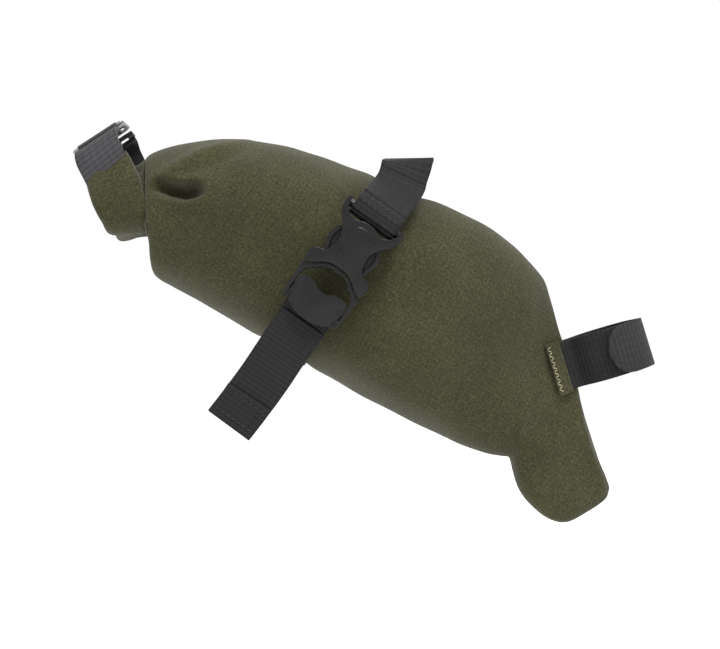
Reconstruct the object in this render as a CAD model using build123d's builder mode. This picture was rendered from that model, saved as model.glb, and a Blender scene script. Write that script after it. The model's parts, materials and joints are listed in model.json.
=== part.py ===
from build123d import *

import os
from math import atan2, copysign, cos, degrees, hypot, pi, radians, sin

# A small roll-top saddle bag for a bicycle, hung from the saddle's rails and the seatpost.
#
# Units are millimetres. +X points to the front of the bicycle, +Y to its left and +Z up, with the bag
# in the attitude that it has on the bicycle. The origin is the centre of the strap loop that holds the
# seatpost. The buckle is on the right-hand side (-Y).

# ---------------------------------------------------------------- driving dimensions
post_radius = 13.6  # a 27.2 mm seatpost
post_tilt = 17.0  # degrees that the seatpost leans back from the vertical
rail_radius = 3.5
rail_spacing = 44.0  # between the centres of the two saddle rails

webbing_width = 20.0
webbing = 1.4  # thickness of the nylon webbing
fabric_wall = 1.8  # coated woven fabric with its foam backing
gap = 0.3  # between pieces that move past each other
seat = 0.15  # between pieces that are sewn or lie together
beyond = 400.0  # a length that is greater than the whole bag's

# the bag's form: lowest point, highest point (x, z) and half width of each section, rear to front
rear_bottom, rear_top = (-185.5, 32.0), (-189.0, 82.5)
strap_bottom, strap_top = (-133.7, 0.6), (-85.8, 68.3)
strap_half_width = 37.4
sections = [
    (rear_bottom, rear_top, 30.0),
    ((-165.0, 19.0), (-160.0, 89.5), 34.5),
    ((-152.0, 12.0), (-125.0, 84.5), 36.5),
    (strap_bottom, strap_top, strap_half_width),
    ((-103.0, -14.8), (-62.0, 60.5), 35.5),
    ((-74.0, -30.6), (-44.0, 50.0), 30.0),
    ((-50.0, -39.8), (-31.0, 38.5), 20.0),
]
# the foremost section stands at the seatpost: (distance behind the nose's front, height along the
# post) of its lowest and highest point, and its half width
front_section = ((17.1, -34.3), (0.6, 31.7), 7.0)
fullness = 2.6  # exponent of the oval sections: 2 is an ellipse, more is squarer

nose_front = 0.7  # from the seatpost to the bag
nose_half_front = 5.5  # half width of the front seam
nose_half_back = 16.0
nose_length = 36.4
nose_taper = 26.0  # length over which the nose widens
toe_depth = 62.3  # below the seatpost loop, along the post
toe_heel = -38.0  # height where the toe reaches furthest back
nose_top = 38.0

# the buckle, measured from the joint between its halves; the strap line is measured from the
# bag's bottom
joint_line = 38.5
near_overlap = 24.0  # where the strap under the bag ends on the buckle's side
far_join = 64.0  # where it meets the strap from the rails
buckle_width = 25.4
buckle_depth = 8.6
buckle_wall = 1.7
socket_length = 27.0
waist_width = 15.6
waist_radius = 6.5
waist_centre = 9.5
mouth_arch = 2.0  # depth of the hollow arch at the socket's mouth
mouth_arch_radius = 30.0
cavity_length = 17.0
frame_rail = 2.2  # side rails of both halves
bar_thickness = 3.0
plug_length = 22.0
prong_thickness = 2.2
prong_root = 1.6
prong_length = 15.0
tail_length = 50.0
tail_hem_length = 14.0

# the seatpost strap
post_fit = 0.1
pile = 0.7  # thickness of the hook pad and of the loop pad
ring_start = 139.0  # degrees from the front where the strap meets the post
near_end = -32.0  # degrees from the front, towards the buckle's side
pads_start, pads_end = -38.0, -84.0
tab_hinge = -24.0
tab_end = -92.0
strap_root = 9.7  # length of strap sewn to the nose
patch_width = 7.0
patch_thickness = 1.0
stitch_width = 1.8
stitch_height = 0.5

# the roll closure: a rolled neck bent to a U, its ends joined over the top by a hook
roll_bottom = (-199.2, 50.6)
roll_lean = 19.0  # degrees that it leans back
roll_width = 16.0
roll_thickness = 8.0
roll_half_span = 25.5
roll_bend = 10.0
roll_height = 29.0
hook_bar = 1.1  # radius
hook_place = (-11.5, 39.5)
hook_width = 24.0
hook_plate = 1.8
hook_lip = 24.5  # from the hook's bar to its lip
lip_width = 11.0
eye_width = 14.0

rail_height = 74.0  # of the rails' centres where the strap crosses them
rail_x = -83.0

sheet_thickness = 1.0
sheet_length = 78.0
sheet_width = 30.0
sheet_lift = 3.2  # the floor's round sides hold the sheet's edges off it


def along(start, direction, distance):
    """The (x, z) point that far from start."""
    return (start[0] + direction[0] * distance, start[1] + direction[1] * distance)


def unit(start, end):
    """The (x, z) direction from start to end."""
    length = hypot(end[0] - start[0], end[1] - start[1])
    return ((end[0] - start[0]) / length, (end[1] - start[1]) / length)


def upright_plane(origin, up):
    """A plane across the bag: local x is +Y and local y is the (x, z) direction up."""
    return Plane(origin=(origin[0], 0, origin[1]), x_dir=(0, 1, 0), z_dir=(up[1], 0, -up[0]))


post_up = (-sin(radians(post_tilt)), cos(radians(post_tilt)))
post_forward = (post_up[1], -post_up[0])
post_plane = Plane(
    origin=(0, 0, 0), x_dir=(post_forward[0], 0, post_forward[1]), z_dir=(post_up[0], 0, post_up[1])
)
post_side = Plane(origin=(0, 0, 0), x_dir=(post_forward[0], 0, post_forward[1]), z_dir=(0, -1, 0))


def behind_post(distance, height):
    """The (x, z) point that far behind the nose's front and that far up along the post."""
    return along(along((0, 0), post_up, height), post_forward, -post_radius - nose_front - distance)


sections.append((behind_post(*front_section[0]), behind_post(*front_section[1]), front_section[2]))

strap_up = unit(strap_bottom, strap_top)
strap_forward = (strap_up[1], -strap_up[0])
strap_plane = upright_plane(strap_bottom, strap_up)

wall_up = unit(rear_bottom, rear_top)
wall_height = hypot(rear_top[0] - rear_bottom[0], rear_top[1] - rear_bottom[1])
rear_half_width = sections[0][2]


def finish(part, label):
    """Labels a finished piece and writes it to its own STEP file."""
    part.label = label
    export_step(part, f"parts/{label}.step")


def oval_points(half_width, half_height, count=16):
    """Points of a superellipse about the origin."""
    power = 2 / fullness
    turns = [2 * pi * i / count for i in range(count)]
    return [
        (
            half_width * copysign(abs(cos(t)) ** power, cos(t)),
            half_height * copysign(abs(sin(t)) ** power, sin(t)),
        )
        for t in turns
    ]


def bag_form(inset):
    """The bag's whole outer form, taken in by inset on every side."""
    with BuildPart() as form:
        for i, (bottom, top, half_width) in enumerate(sections):
            up = unit(bottom, top)
            middle = ((bottom[0] + top[0]) / 2, (bottom[1] + top[1]) / 2)
            if i == 0:
                middle = along(middle, (up[1], -up[0]), inset)
            if i == len(sections) - 1:
                middle = along(middle, (up[1], -up[0]), -inset)
            half_height = hypot(top[0] - bottom[0], top[1] - bottom[1]) / 2
            with BuildSketch(upright_plane(middle, up)):
                with BuildLine():
                    Spline(*oval_points(half_width - inset, half_height - inset), periodic=True)
                make_face()
        loft()
        add(nose_form(inset))
    return form.part


def nose_form(inset):
    """The front of the bag: a wedge that narrows to the seam at the seatpost, with the toe below."""
    front = -(post_radius + nose_front + inset)
    back = -(post_radius + nose_front + nose_length - inset)
    bottom = -toe_depth + inset
    with BuildPart() as nose:
        with BuildSketch(post_side):
            with BuildLine():
                outline = Spline(
                    (front, nose_top - 6 - inset),
                    (front - 4, nose_top - inset),
                    (back + 4, nose_top - 14),
                    (back + 1, -nose_top / 2),
                    (back, toe_heel),
                    (back + 3, toe_heel - 13 + inset),
                    (back + 11, bottom),
                    (front - 18, bottom),
                    (front - 2.4, bottom + 4),
                )
                Line(outline @ 1, (front, bottom + 12))
                Line((front, bottom + 12), outline @ 0)
            make_face()
        extrude(amount=nose_half_back + 1, both=True)
        with BuildSketch(post_plane):
            half_front, half_back = nose_half_front - inset, nose_half_back - inset
            with BuildLine():
                Polyline(
                    (front, -half_front),
                    (front, half_front),
                    (front - nose_taper, half_back),
                    (back, half_back),
                    (back, -half_back),
                    (front - nose_taper, -half_back),
                    close=True,
                )
            make_face()
        extrude(amount=toe_depth + nose_top, both=True, mode=Mode.INTERSECT)
    return nose.part


def slab(plane, width):
    """A tall slab of the given width, for cutting a band out of the bag's form."""
    with BuildPart() as block:
        with BuildSketch(plane):
            Rectangle(beyond, beyond)
        extrude(amount=width / 2, both=True)
    return block.part


def strip(plane, path, thickness, width):
    """A flat strap seen edge on: the path thickened in its plane and given its width across it."""
    with BuildPart() as band:
        with BuildSketch(plane):
            trace(path, line_width=thickness)
        extrude(amount=width / 2, both=True)
    return band.part


def arc_point(radius, angle):
    """A point of a circle round the seatpost, seen along the post; 0 degrees is the front."""
    return (radius * cos(radians(angle)), radius * sin(radians(angle)))


def ring_sector(plane, radius, thickness, start, end, width):
    """Part of a band round the seatpost, outside the given radius."""
    middle = radius + thickness / 2
    with BuildLine() as path:
        ThreePointArc(
            arc_point(middle, start), arc_point(middle, (start + end) / 2), arc_point(middle, end)
        )
    return strip(plane, path.line, thickness, width)


# ---------------------------------------------------------------- the bag
os.makedirs("parts", exist_ok=True)

mouth_half_width = rear_half_width - fabric_wall
mouth_half_height = wall_height / 2 - fabric_wall
mouth_plane = upright_plane(along(rear_bottom, wall_up, wall_height / 2), wall_up)

with BuildPart() as bag_shell:
    add(bag_form(0))
    add(bag_form(fabric_wall), mode=Mode.SUBTRACT)
    with BuildSketch(mouth_plane.offset(-1)):
        with BuildLine():
            Spline(*oval_points(mouth_half_width, mouth_half_height), periodic=True)
        make_face()
    extrude(amount=fabric_wall + 2, mode=Mode.SUBTRACT)
finish(bag_shell.part, "bag_shell")

# a thin plastic sheet lies on the bag's floor and keeps it straight
floor_start = sections[2][0]
floor_end = sections[5][0]
floor_forward = unit(floor_start, floor_end)
floor_up = (-floor_forward[1], floor_forward[0])
floor_middle = along(floor_start, floor_forward, sheet_length / 2 + 4)
floor_plane = Plane(
    origin=(floor_middle[0], 0, floor_middle[1]),
    x_dir=(floor_forward[0], 0, floor_forward[1]),
    z_dir=(floor_up[0], 0, floor_up[1]),
)
with BuildPart() as base_stiffener:
    with BuildSketch(floor_plane.offset(fabric_wall + sheet_lift)):
        RectangleRounded(sheet_length, sheet_width, 8)
    extrude(amount=sheet_thickness)
finish(base_stiffener.part, "base_stiffener")

# ---------------------------------------------------------------- the strap round the bag
with BuildPart() as under_strap:
    add(bag_form(-(seat + webbing)))
    add(bag_form(-seat), mode=Mode.SUBTRACT)
    add(slab(strap_plane, webbing_width), mode=Mode.INTERSECT)
    with BuildSketch(strap_plane):
        with BuildLine():
            Polyline(
                (-beyond, near_overlap),
                (0, near_overlap),
                (0, far_join),
                (beyond, far_join),
                (beyond, beyond),
                (-beyond, beyond),
                close=True,
            )
        make_face()
    extrude(amount=webbing_width, both=True, mode=Mode.SUBTRACT)
finish(under_strap.part, "under_strap")

joint_point = along(strap_bottom, strap_up, joint_line)
buckle_back = strap_half_width + seat + webbing + gap + webbing + gap
buckle_plane = Plane(
    origin=(joint_point[0], -buckle_back, joint_point[1]),
    x_dir=(strap_forward[0], 0, strap_forward[1]),
    z_dir=(0, -1, 0),
)
# the buckle seen from its edge: local x is outwards and local y is along the strap
buckle_side = Plane(
    origin=(joint_point[0], -buckle_back, joint_point[1]),
    x_dir=(0, -1, 0),
    z_dir=(-strap_forward[0], 0, -strap_forward[1]),
)


def buckle_point(outward, onward):
    """A point on the buckle's middle line, in the row's frame."""
    return buckle_side.from_local_coords((outward, onward, 0))


def ribbon(stations, width, thickness):
    """A strap that turns as it goes: each station is (centre, width direction, way it runs)."""
    with BuildPart() as band:
        for centre, across, onward in stations:
            with BuildSketch(Plane(origin=centre, x_dir=across, z_dir=onward)):
                Rectangle(width, thickness)
        loft(ruled=True)
    return band.part


socket_middle = buckle_depth / 2
bar_centre = socket_length - bar_thickness / 2
bar_hole = bar_thickness + 2 * gap
loop_top = socket_length + 4.0
across_bag = (strap_forward[0], 0, strap_forward[1])
turned = (0.93, 0, -0.37)  # the strap is turning from the buckle's slant to lie across the rails
rail_side = rail_spacing / 2 + rail_radius + gap + webbing / 2
rail_over = rail_height + rail_radius + gap + webbing / 2
corner = rail_radius + gap + webbing / 2
far_point = along(strap_bottom, strap_up, far_join + gap)
far_out = strap_half_width * 0.93 + webbing / 2 + 1.8
stations = [
    (buckle_point(socket_middle, loop_top), across_bag, (strap_up[0], 0.2, strap_up[1])),
    ((rail_x - 1.5, -rail_side, rail_height - 2), turned, (0.2, 0.1, 1)),
    ((rail_x, -rail_spacing / 2 - corner, rail_height + corner), (1, 0, 0), (0, 0.7, 0.7)),
    ((rail_x, -rail_spacing / 2 + 1, rail_over), (1, 0, 0), (0, 1, 0.1)),
    ((rail_x, rail_spacing / 2 - 1, rail_over), (1, 0, 0), (0, 1, -0.1)),
    ((rail_x, rail_spacing / 2 + corner, rail_height + corner), (1, 0, 0), (0, 0.7, -0.7)),
    ((rail_x - 1.5, rail_side, rail_height - 2), turned, (-0.2, 0.1, -1)),
    ((far_point[0], far_out, far_point[1]), across_bag, (-strap_up[0], 0.1, -strap_up[1])),
]
with BuildPart() as rail_strap:
    add(ribbon(stations, webbing_width, webbing))
    # its end is folded round the socket's bar and sewn
    with BuildSketch(buckle_side):
        with Locations((socket_middle, bar_centre)):
            Circle(bar_hole / 2 + webbing)
        with Locations((socket_middle, (bar_centre + loop_top) / 2 + 0.4)):
            Rectangle(2 * webbing, loop_top - bar_centre + 0.8)
        with Locations((socket_middle, bar_centre)):
            Rectangle(bar_hole, bar_hole, mode=Mode.SUBTRACT)
    extrude(amount=webbing_width / 2, both=True)
finish(rail_strap.part, "rail_strap")

# ---------------------------------------------------------------- the side-release buckle
cavity_half = buckle_width / 2 - frame_rail - 0.8
slot_half = webbing_width / 2 + gap
with BuildPart() as buckle_socket:
    with BuildSketch(buckle_plane):
        with Locations((0, socket_length / 2)):
            RectangleRounded(buckle_width, socket_length, 2.5)
        with Locations((0, mouth_arch - mouth_arch_radius)):
            Circle(mouth_arch_radius, mode=Mode.SUBTRACT)
        for side in (-1, 1):
            with Locations((side * (waist_width / 2 + waist_radius), waist_centre)):
                Circle(waist_radius, mode=Mode.SUBTRACT)
    extrude(amount=buckle_depth)
    with BuildSketch(buckle_plane.offset(buckle_wall)):
        with Locations((0, cavity_length / 2)):
            Rectangle(2 * cavity_half, cavity_length)
    extrude(amount=buckle_depth - 2 * buckle_wall, mode=Mode.SUBTRACT)
    with BuildSketch(buckle_plane):
        with Locations((0, (cavity_length + 1.5 + socket_length - bar_thickness) / 2)):
            Rectangle(2 * slot_half, socket_length - bar_thickness - cavity_length - 1.5)
    extrude(amount=buckle_depth, mode=Mode.SUBTRACT)
    # the bar is thinner than the frame, so that the webbing lies round it inside the buckle's depth
    with BuildSketch(buckle_plane):
        with Locations((0, socket_length)):
            Rectangle(2 * slot_half, 2 * bar_thickness)
    extrude(amount=socket_middle - bar_thickness / 2, mode=Mode.SUBTRACT)
    with BuildSketch(buckle_plane.offset(socket_middle + bar_thickness / 2)):
        with Locations((0, socket_length)):
            Rectangle(2 * slot_half, 2 * bar_thickness)
    extrude(amount=buckle_depth, mode=Mode.SUBTRACT)
finish(buckle_socket.part, "buckle_socket")

prong_x = cavity_half - gap - prong_thickness / 2
pivot_y = -2.4
inner_depth = buckle_depth - 2 * buckle_wall - 2 * gap
inner_plane = buckle_plane.offset(buckle_wall + gap)
ladder_top = -9.6
ladder_bar = -12.6  # upper edge of the bar that the webbing turns round
ladder_slot = -15.6  # its lower edge
plate_top = -18.2
with BuildPart() as buckle_plug:
    # shoulders below the joint line
    with BuildSketch(buckle_plane.offset(0.6)):
        with BuildLine():
            Polyline(
                (-buckle_width / 2, -0.4),
                (buckle_width / 2, -0.4),
                (buckle_width / 2 - 1.8, -plug_length + 3),
                (buckle_width / 2 - 5, -plug_length),
                (-buckle_width / 2 + 5, -plug_length),
                (-buckle_width / 2 + 1.8, -plug_length + 3),
                close=True,
            )
        make_face()
        with Locations((0, ladder_top - 20)):
            Rectangle(2 * slot_half, 40, mode=Mode.SUBTRACT)
    extrude(amount=buckle_depth - 1.2)
    # the centre guide
    with BuildSketch(inner_plane):
        with Locations((0, (prong_length - 3) / 2 - 0.5)):
            Rectangle(3, prong_length - 2)
    extrude(amount=inner_depth)
    # the bar that the webbing turns round, and the plate over the tail
    with BuildSketch(buckle_plane.offset(1.6)):
        with Locations((0, (ladder_bar + ladder_slot) / 2)):
            Rectangle(2 * slot_half + 1, ladder_bar - ladder_slot)
    extrude(amount=2.4)
    with BuildSketch(buckle_plane.offset(4.6)):
        with Locations((0, (plate_top - plug_length) / 2)):
            Rectangle(2 * slot_half + 1, plate_top + plug_length)
    extrude(amount=2.2)
    # pockets for the prongs' roots
    for side in (-1, 1):
        with BuildSketch(buckle_plane):
            with Locations((side * prong_x, pivot_y)):
                Circle(prong_root + gap)
            with Locations((side * prong_x, pivot_y + 3)):
                Rectangle(prong_thickness + 2 * gap + 1.4, 6)
        extrude(amount=buckle_depth, mode=Mode.SUBTRACT)
finish(buckle_plug.part, "buckle_plug")


def prong(side):
    """One springy arm of the plug, with the button that shows in the socket's side window."""
    with BuildPart() as arm:
        with BuildSketch(inner_plane):
            with Locations((side * prong_x, pivot_y)):
                Circle(prong_root)
            with Locations((side * prong_x, (pivot_y + prong_length) / 2)):
                Rectangle(prong_thickness, prong_length - pivot_y)
            with BuildLine():
                Polyline(
                    (side * (prong_x - prong_thickness / 2), prong_length),
                    (side * (prong_x + prong_thickness / 2), prong_length - 1.5),
                    (side * (prong_x + prong_thickness / 2), prong_length - 8),
                    (side * (prong_x - prong_thickness / 2 - 1.2), prong_length - 6),
                    (side * (prong_x - prong_thickness / 2 - 1.2), prong_length - 1),
                    close=True,
                )
            make_face()
        extrude(amount=inner_depth)
    return arm.part


for name, side in (("prong_rear", -1), ("prong_front", 1)):
    finish(prong(side), name)

# the webbing that is pulled through the plug: up behind it, round the bar and down under the plate
standing = -(gap + webbing / 2)
bar_front = 4.0 + gap + webbing / 2
tail_out = 2.4
with BuildLine() as plug_path:
    Polyline(
        (standing, -joint_line + 7),
        (standing, -13),
        (0.6, ladder_bar + gap + webbing / 2 + 0.1),
        (bar_front, ladder_bar + gap + webbing / 2 + 0.1),
        (bar_front, ladder_slot - gap - webbing / 2 - 0.1),
        (tail_out, ladder_slot - gap - webbing / 2 - 0.8),
        (tail_out, -plug_length - gap),
    )
with BuildPart() as plug_webbing:
    add(strip(buckle_side, plug_path.line, webbing, webbing_width))
finish(plug_webbing.part, "plug_webbing")

# the free tail hangs from the plug and ends in a folded hem
tail_root = -plug_length - gap - webbing / 2 - 0.2
tail_end = tail_root - tail_length
with BuildPart() as tail_webbing:
    with BuildSketch(buckle_side):
        with Locations((tail_out, tail_root)):
            Circle(webbing / 2)
        with Locations((tail_out, (tail_root + tail_end) / 2)):
            Rectangle(webbing, tail_length)
    extrude(amount=webbing_width / 2, both=True)
finish(tail_webbing.part, "tail_webbing")

with BuildPart() as tail_hem:
    with BuildSketch(buckle_side):
        with Locations((tail_out + webbing / 2 + seat + webbing / 2, tail_end + tail_hem_length / 2)):
            Rectangle(webbing, tail_hem_length)
    extrude(amount=webbing_width / 2, both=True)
finish(tail_hem.part, "tail_hem")

with BuildPart() as hem_stitches:
    with BuildSketch(buckle_plane.offset(tail_out + webbing / 2 + seat + webbing)):
        for place in (2.0, tail_hem_length - 2.0):
            with Locations((0, tail_end + place)):
                Rectangle(webbing_width - 3, 0.8)
    extrude(amount=stitch_height)
finish(hem_stitches.part, "hem_stitches")

# ---------------------------------------------------------------- the seatpost strap
front_x = -(post_radius + nose_front)
nose_slope = (nose_half_back - nose_half_front) / nose_taper
slope_turn = degrees(atan2(nose_slope, 1))
strap_in = post_radius + post_fit
strap_mid = strap_in + webbing / 2


def nose_side(distance, out):
    """A point on the near side of the nose: distance behind its front, out from its surface."""
    x = front_x - distance
    y = nose_half_front + nose_slope * distance
    return (x + out * sin(radians(slope_turn)), -y - out * cos(radians(slope_turn)))


def nose_plane(distance, out, side):
    """A plane on the nose's side: local x runs forward and local y runs up along the post."""
    x, y = nose_side(distance, out)
    spot = post_plane.from_local_coords((x, -side * y, 0))
    turn = radians(slope_turn)
    outward = (post_forward[0] * sin(turn), side * cos(turn), post_forward[1] * sin(turn))
    forward = (post_forward[0] * cos(turn), -side * sin(turn), post_forward[1] * cos(turn))
    return Plane(origin=spot, x_dir=forward, z_dir=outward)


def strap_piece(side, end):
    """From the nose along its side and round the post to an angle from the front."""
    root = nose_side(strap_root, seat + webbing / 2)
    edge = nose_side(-0.4, seat + webbing / 2)
    with BuildLine() as path:
        Polyline(
            (root[0], -side * root[1]),
            (edge[0], -side * edge[1]),
            arc_point(strap_mid, side * ring_start),
        )
    with BuildPart() as band:
        add(ring_sector(post_plane, strap_in, webbing, side * (ring_start + 2), end, webbing_width))
        add(strip(post_plane, path.line, webbing, webbing_width))
        with BuildSketch(post_plane):
            Circle(strap_in)
        extrude(amount=webbing_width, both=True, mode=Mode.SUBTRACT)
    return band.part


with BuildPart() as post_strap_near:
    add(strap_piece(-1, near_end))
finish(post_strap_near.part, "post_strap_near")

loop_radius = strap_in + webbing + seat
hook_radius = loop_radius + pile + gap
tab_radius = hook_radius + pile + seat
with BuildPart() as loop_pad:
    add(ring_sector(post_plane, loop_radius, pile, pads_start, pads_end - 8, webbing_width - 2))
finish(loop_pad.part, "loop_pad")

with BuildLine() as far_step:
    Polyline(arc_point(strap_mid, 0.5), arc_point(tab_radius + webbing / 2, tab_hinge + 3.5))
with BuildPart() as post_strap_far:
    add(strap_piece(1, 0))
    add(strip(post_plane, far_step.line, webbing, webbing_width))
finish(post_strap_far.part, "post_strap_far")

with BuildPart() as strap_tab:
    add(ring_sector(post_plane, tab_radius, webbing, tab_hinge - 3, tab_end, webbing_width))
    short = strap_tab.edges().filter_by(lambda e: abs(e.length - webbing) < 0.05)
    far_corners = short.sort_by(Axis(origin=(0, 0, 0), direction=(post_forward[0], 0, post_forward[1])))
    fillet(far_corners[0:2], webbing_width / 2 - 3)
finish(strap_tab.part, "strap_tab")

with BuildPart() as hook_pad:
    add(ring_sector(post_plane, hook_radius, pile, pads_start, pads_end, webbing_width - 2))
finish(hook_pad.part, "hook_pad")

for name, side in (("near", -1), ("far", 1)):
    out = seat + webbing + seat
    with BuildPart() as patch:
        with BuildSketch(nose_plane(strap_root - patch_width / 2, out, side)):
            Rectangle(patch_width, webbing_width + 2)
        extrude(amount=patch_thickness)
    finish(patch.part, f"anchor_patch_{name}")
    with BuildPart() as bartack:
        with BuildSketch(nose_plane(strap_root - patch_width / 2, out + patch_thickness, side)):
            Rectangle(stitch_width, webbing_width - 1)
        extrude(amount=stitch_height)
    finish(bartack.part, f"bartack_{name}")

# ---------------------------------------------------------------- the roll closure
roll_up = (-sin(radians(roll_lean)), cos(radians(roll_lean)))
roll_plane = upright_plane(roll_bottom, roll_up)
with BuildLine() as roll_path:
    FilletPolyline(
        (-roll_half_span, roll_height),
        (-roll_half_span, 0),
        (roll_half_span, 0),
        (roll_half_span, roll_height),
        radius=roll_bend,
    )
batten_length = 2 * (roll_half_span - roll_bend) - 4
batten_width = 12.0
batten_thickness = 1.2
with BuildPart() as rolled_neck:
    add(strip(roll_plane, roll_path.line, roll_thickness, roll_width))
    with BuildSketch(roll_plane):
        Rectangle(batten_length + 2 * seat, batten_thickness + 2 * seat)
    extrude(amount=batten_width / 2 + seat, both=True, mode=Mode.SUBTRACT)
finish(rolled_neck.part, "rolled_neck")

with BuildPart() as batten:
    with BuildSketch(roll_plane):
        Rectangle(batten_length, batten_thickness)
    extrude(amount=batten_width / 2, both=True)
finish(batten.part, "roll_batten")

flap_gap = 0.4
flap_thickness = 1.8
roll_front = roll_plane.offset(roll_width / 2 + seat)


def side_point(plane, up_distance):
    """The (x, z) of a point that far up a plane across the bag."""
    spot = plane.from_local_coords((0, up_distance, 0))
    return (spot.X, spot.Z)


flap_face = mouth_plane.offset(-flap_gap)
flap_rear = mouth_plane.offset(-flap_gap - flap_thickness)
with BuildPart() as mouth_flap:
    with BuildSketch(flap_face):
        with BuildLine():
            Spline(*oval_points(rear_half_width, wall_height / 2), periodic=True)
        make_face()
    extrude(amount=-flap_thickness)
    with BuildSketch(Plane.XZ):
        with BuildLine():
            Polyline(
                side_point(flap_rear.offset(0.5), -6),
                side_point(roll_front, -2),
                side_point(roll_front, roll_height),
                side_point(flap_rear.offset(0.5), wall_height / 2 - 4),
                close=True,
            )
        make_face()
    extrude(amount=roll_half_span - roll_bend, both=True)
finish(mouth_flap.part, "mouth_flap")

bar_ring = hook_bar + gap + webbing / 2
near_end_point = (-roll_half_span, roll_height + seat)
with BuildPart() as near_tab:
    with BuildSketch(roll_plane):
        with BuildLine() as near_path:
            Polyline(
                near_end_point,
                (-roll_half_span, roll_height + 4),
                (-roll_half_span + 3, roll_height + 7),
                (hook_place[0] - bar_ring, hook_place[1] - 1),
            )
        trace(near_path.line, line_width=2 * webbing)
        with Locations(hook_place):
            Circle(bar_ring + webbing / 2)
            Circle(hook_bar + gap, mode=Mode.SUBTRACT)
    extrude(amount=webbing_width / 2, both=True)
finish(near_tab.part, "near_tab")

eye_near = hook_place[0] + hook_lip - 3.4
eye_far = hook_place[0] + hook_lip + 2.6
far_level = hook_place[1] - 0.4
with BuildLine() as far_tab_path:
    Polyline(
        (roll_half_span, roll_height + seat),
        (roll_half_span, roll_height + 4),
        (roll_half_span - 3, roll_height + 7),
        (eye_far + 1.5, far_level),
        (eye_near - 3, far_level),
    )
with BuildPart() as far_tab:
    add(strip(roll_plane, far_tab_path.line, webbing, webbing_width))
    with BuildSketch(roll_plane.offset(-eye_width / 2)):
        with Locations(((eye_near + eye_far) / 2, far_level)):
            Rectangle(eye_far - eye_near, 8)
    extrude(amount=eye_width, mode=Mode.SUBTRACT)
finish(far_tab.part, "far_tab")

with BuildPart() as hook:
    with BuildSketch(roll_plane):
        with Locations(hook_place):
            Circle(hook_bar)
    extrude(amount=hook_width / 2, both=True)
    # the side arms, outside the webbing
    with BuildSketch(roll_plane):
        with BuildLine():
            Polyline(
                (hook_place[0] - hook_bar, hook_place[1]),
                (hook_place[0] - hook_bar, hook_place[1] + hook_bar + hook_plate),
                (hook_place[0] + hook_lip, hook_place[1] + hook_bar + hook_plate),
                (hook_place[0] + hook_lip, hook_place[1] + hook_bar),
                (hook_place[0] + hook_bar, hook_place[1] + hook_bar),
                (hook_place[0] + hook_bar, hook_place[1]),
                close=True,
            )
        make_face()
    extrude(amount=hook_width / 2, both=True)
    with BuildSketch(roll_plane):
        with Locations(hook_place):
            Circle(bar_ring + webbing / 2 + gap)
            Circle(hook_bar, mode=Mode.SUBTRACT)
    extrude(amount=webbing_width / 2 + gap, both=True, mode=Mode.SUBTRACT)
    with BuildSketch(roll_plane):
        with BuildLine() as lip_path:
            CenterArc(hook_place, hook_lip - hook_plate / 2, -8, 14)
        trace(lip_path.line, line_width=hook_plate)
    extrude(amount=lip_width / 2, both=True)
finish(hook.part, "hook")
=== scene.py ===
# %% [markdown]
# A small roll-top saddle bag, dressed for rendering. The CAD frame gives every node's true place and
# its joints. Here each soft piece gets the surface that the real one has: cloth that is filled out and
# creased, webbing with a woven rib, stitches, moulded buckle parts and an aluminium hook.

import json
from math import atan2, cos, degrees, exp, pi, radians, sin

import bmesh
import bpy
from mathutils import Matrix, Vector, noise
from mathutils.bvhtree import BVHTree


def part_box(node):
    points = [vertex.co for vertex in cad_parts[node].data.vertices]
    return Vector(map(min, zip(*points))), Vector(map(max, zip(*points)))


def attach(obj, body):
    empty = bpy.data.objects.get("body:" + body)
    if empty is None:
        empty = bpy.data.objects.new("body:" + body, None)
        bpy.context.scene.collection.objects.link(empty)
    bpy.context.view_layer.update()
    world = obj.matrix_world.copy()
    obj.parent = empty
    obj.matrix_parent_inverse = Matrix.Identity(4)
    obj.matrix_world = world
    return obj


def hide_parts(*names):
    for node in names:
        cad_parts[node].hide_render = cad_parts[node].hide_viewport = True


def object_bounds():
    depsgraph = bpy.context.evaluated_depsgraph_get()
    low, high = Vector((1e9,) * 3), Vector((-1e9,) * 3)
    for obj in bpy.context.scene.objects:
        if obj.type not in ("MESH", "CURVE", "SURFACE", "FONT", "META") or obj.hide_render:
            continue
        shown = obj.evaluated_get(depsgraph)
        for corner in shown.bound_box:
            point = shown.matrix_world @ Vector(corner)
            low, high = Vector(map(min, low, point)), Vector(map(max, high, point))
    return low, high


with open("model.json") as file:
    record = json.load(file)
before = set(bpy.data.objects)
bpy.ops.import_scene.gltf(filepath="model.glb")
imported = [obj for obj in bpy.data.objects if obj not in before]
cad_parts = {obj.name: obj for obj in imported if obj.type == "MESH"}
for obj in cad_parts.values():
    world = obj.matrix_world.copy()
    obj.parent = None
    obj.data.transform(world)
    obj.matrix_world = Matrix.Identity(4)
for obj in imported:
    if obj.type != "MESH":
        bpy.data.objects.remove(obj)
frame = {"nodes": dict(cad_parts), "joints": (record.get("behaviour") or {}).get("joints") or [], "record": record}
size_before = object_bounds()
MM = 0.001
print("size", [[round(c, 4) for c in v] for v in size_before])

# %% [markdown]
# Colours are written the way a colour picker shows them, as sRGB hex, and one function turns them into
# the linear values that the shader works with.
#
# A material is a small network of nodes. One helper adds a node, sets its inputs and links it, so that
# each material below reads as a short recipe.


# %% Colour and node helpers
def colour(hex_code):
    """Linear RGBA from an sRGB hex string."""
    channels = [int(hex_code[i : i + 2], 16) / 255 for i in (0, 2, 4)]
    linear = [c / 12.92 if c <= 0.04045 else ((c + 0.055) / 1.055) ** 2.4 for c in channels]
    return (*linear, 1.0)


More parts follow.
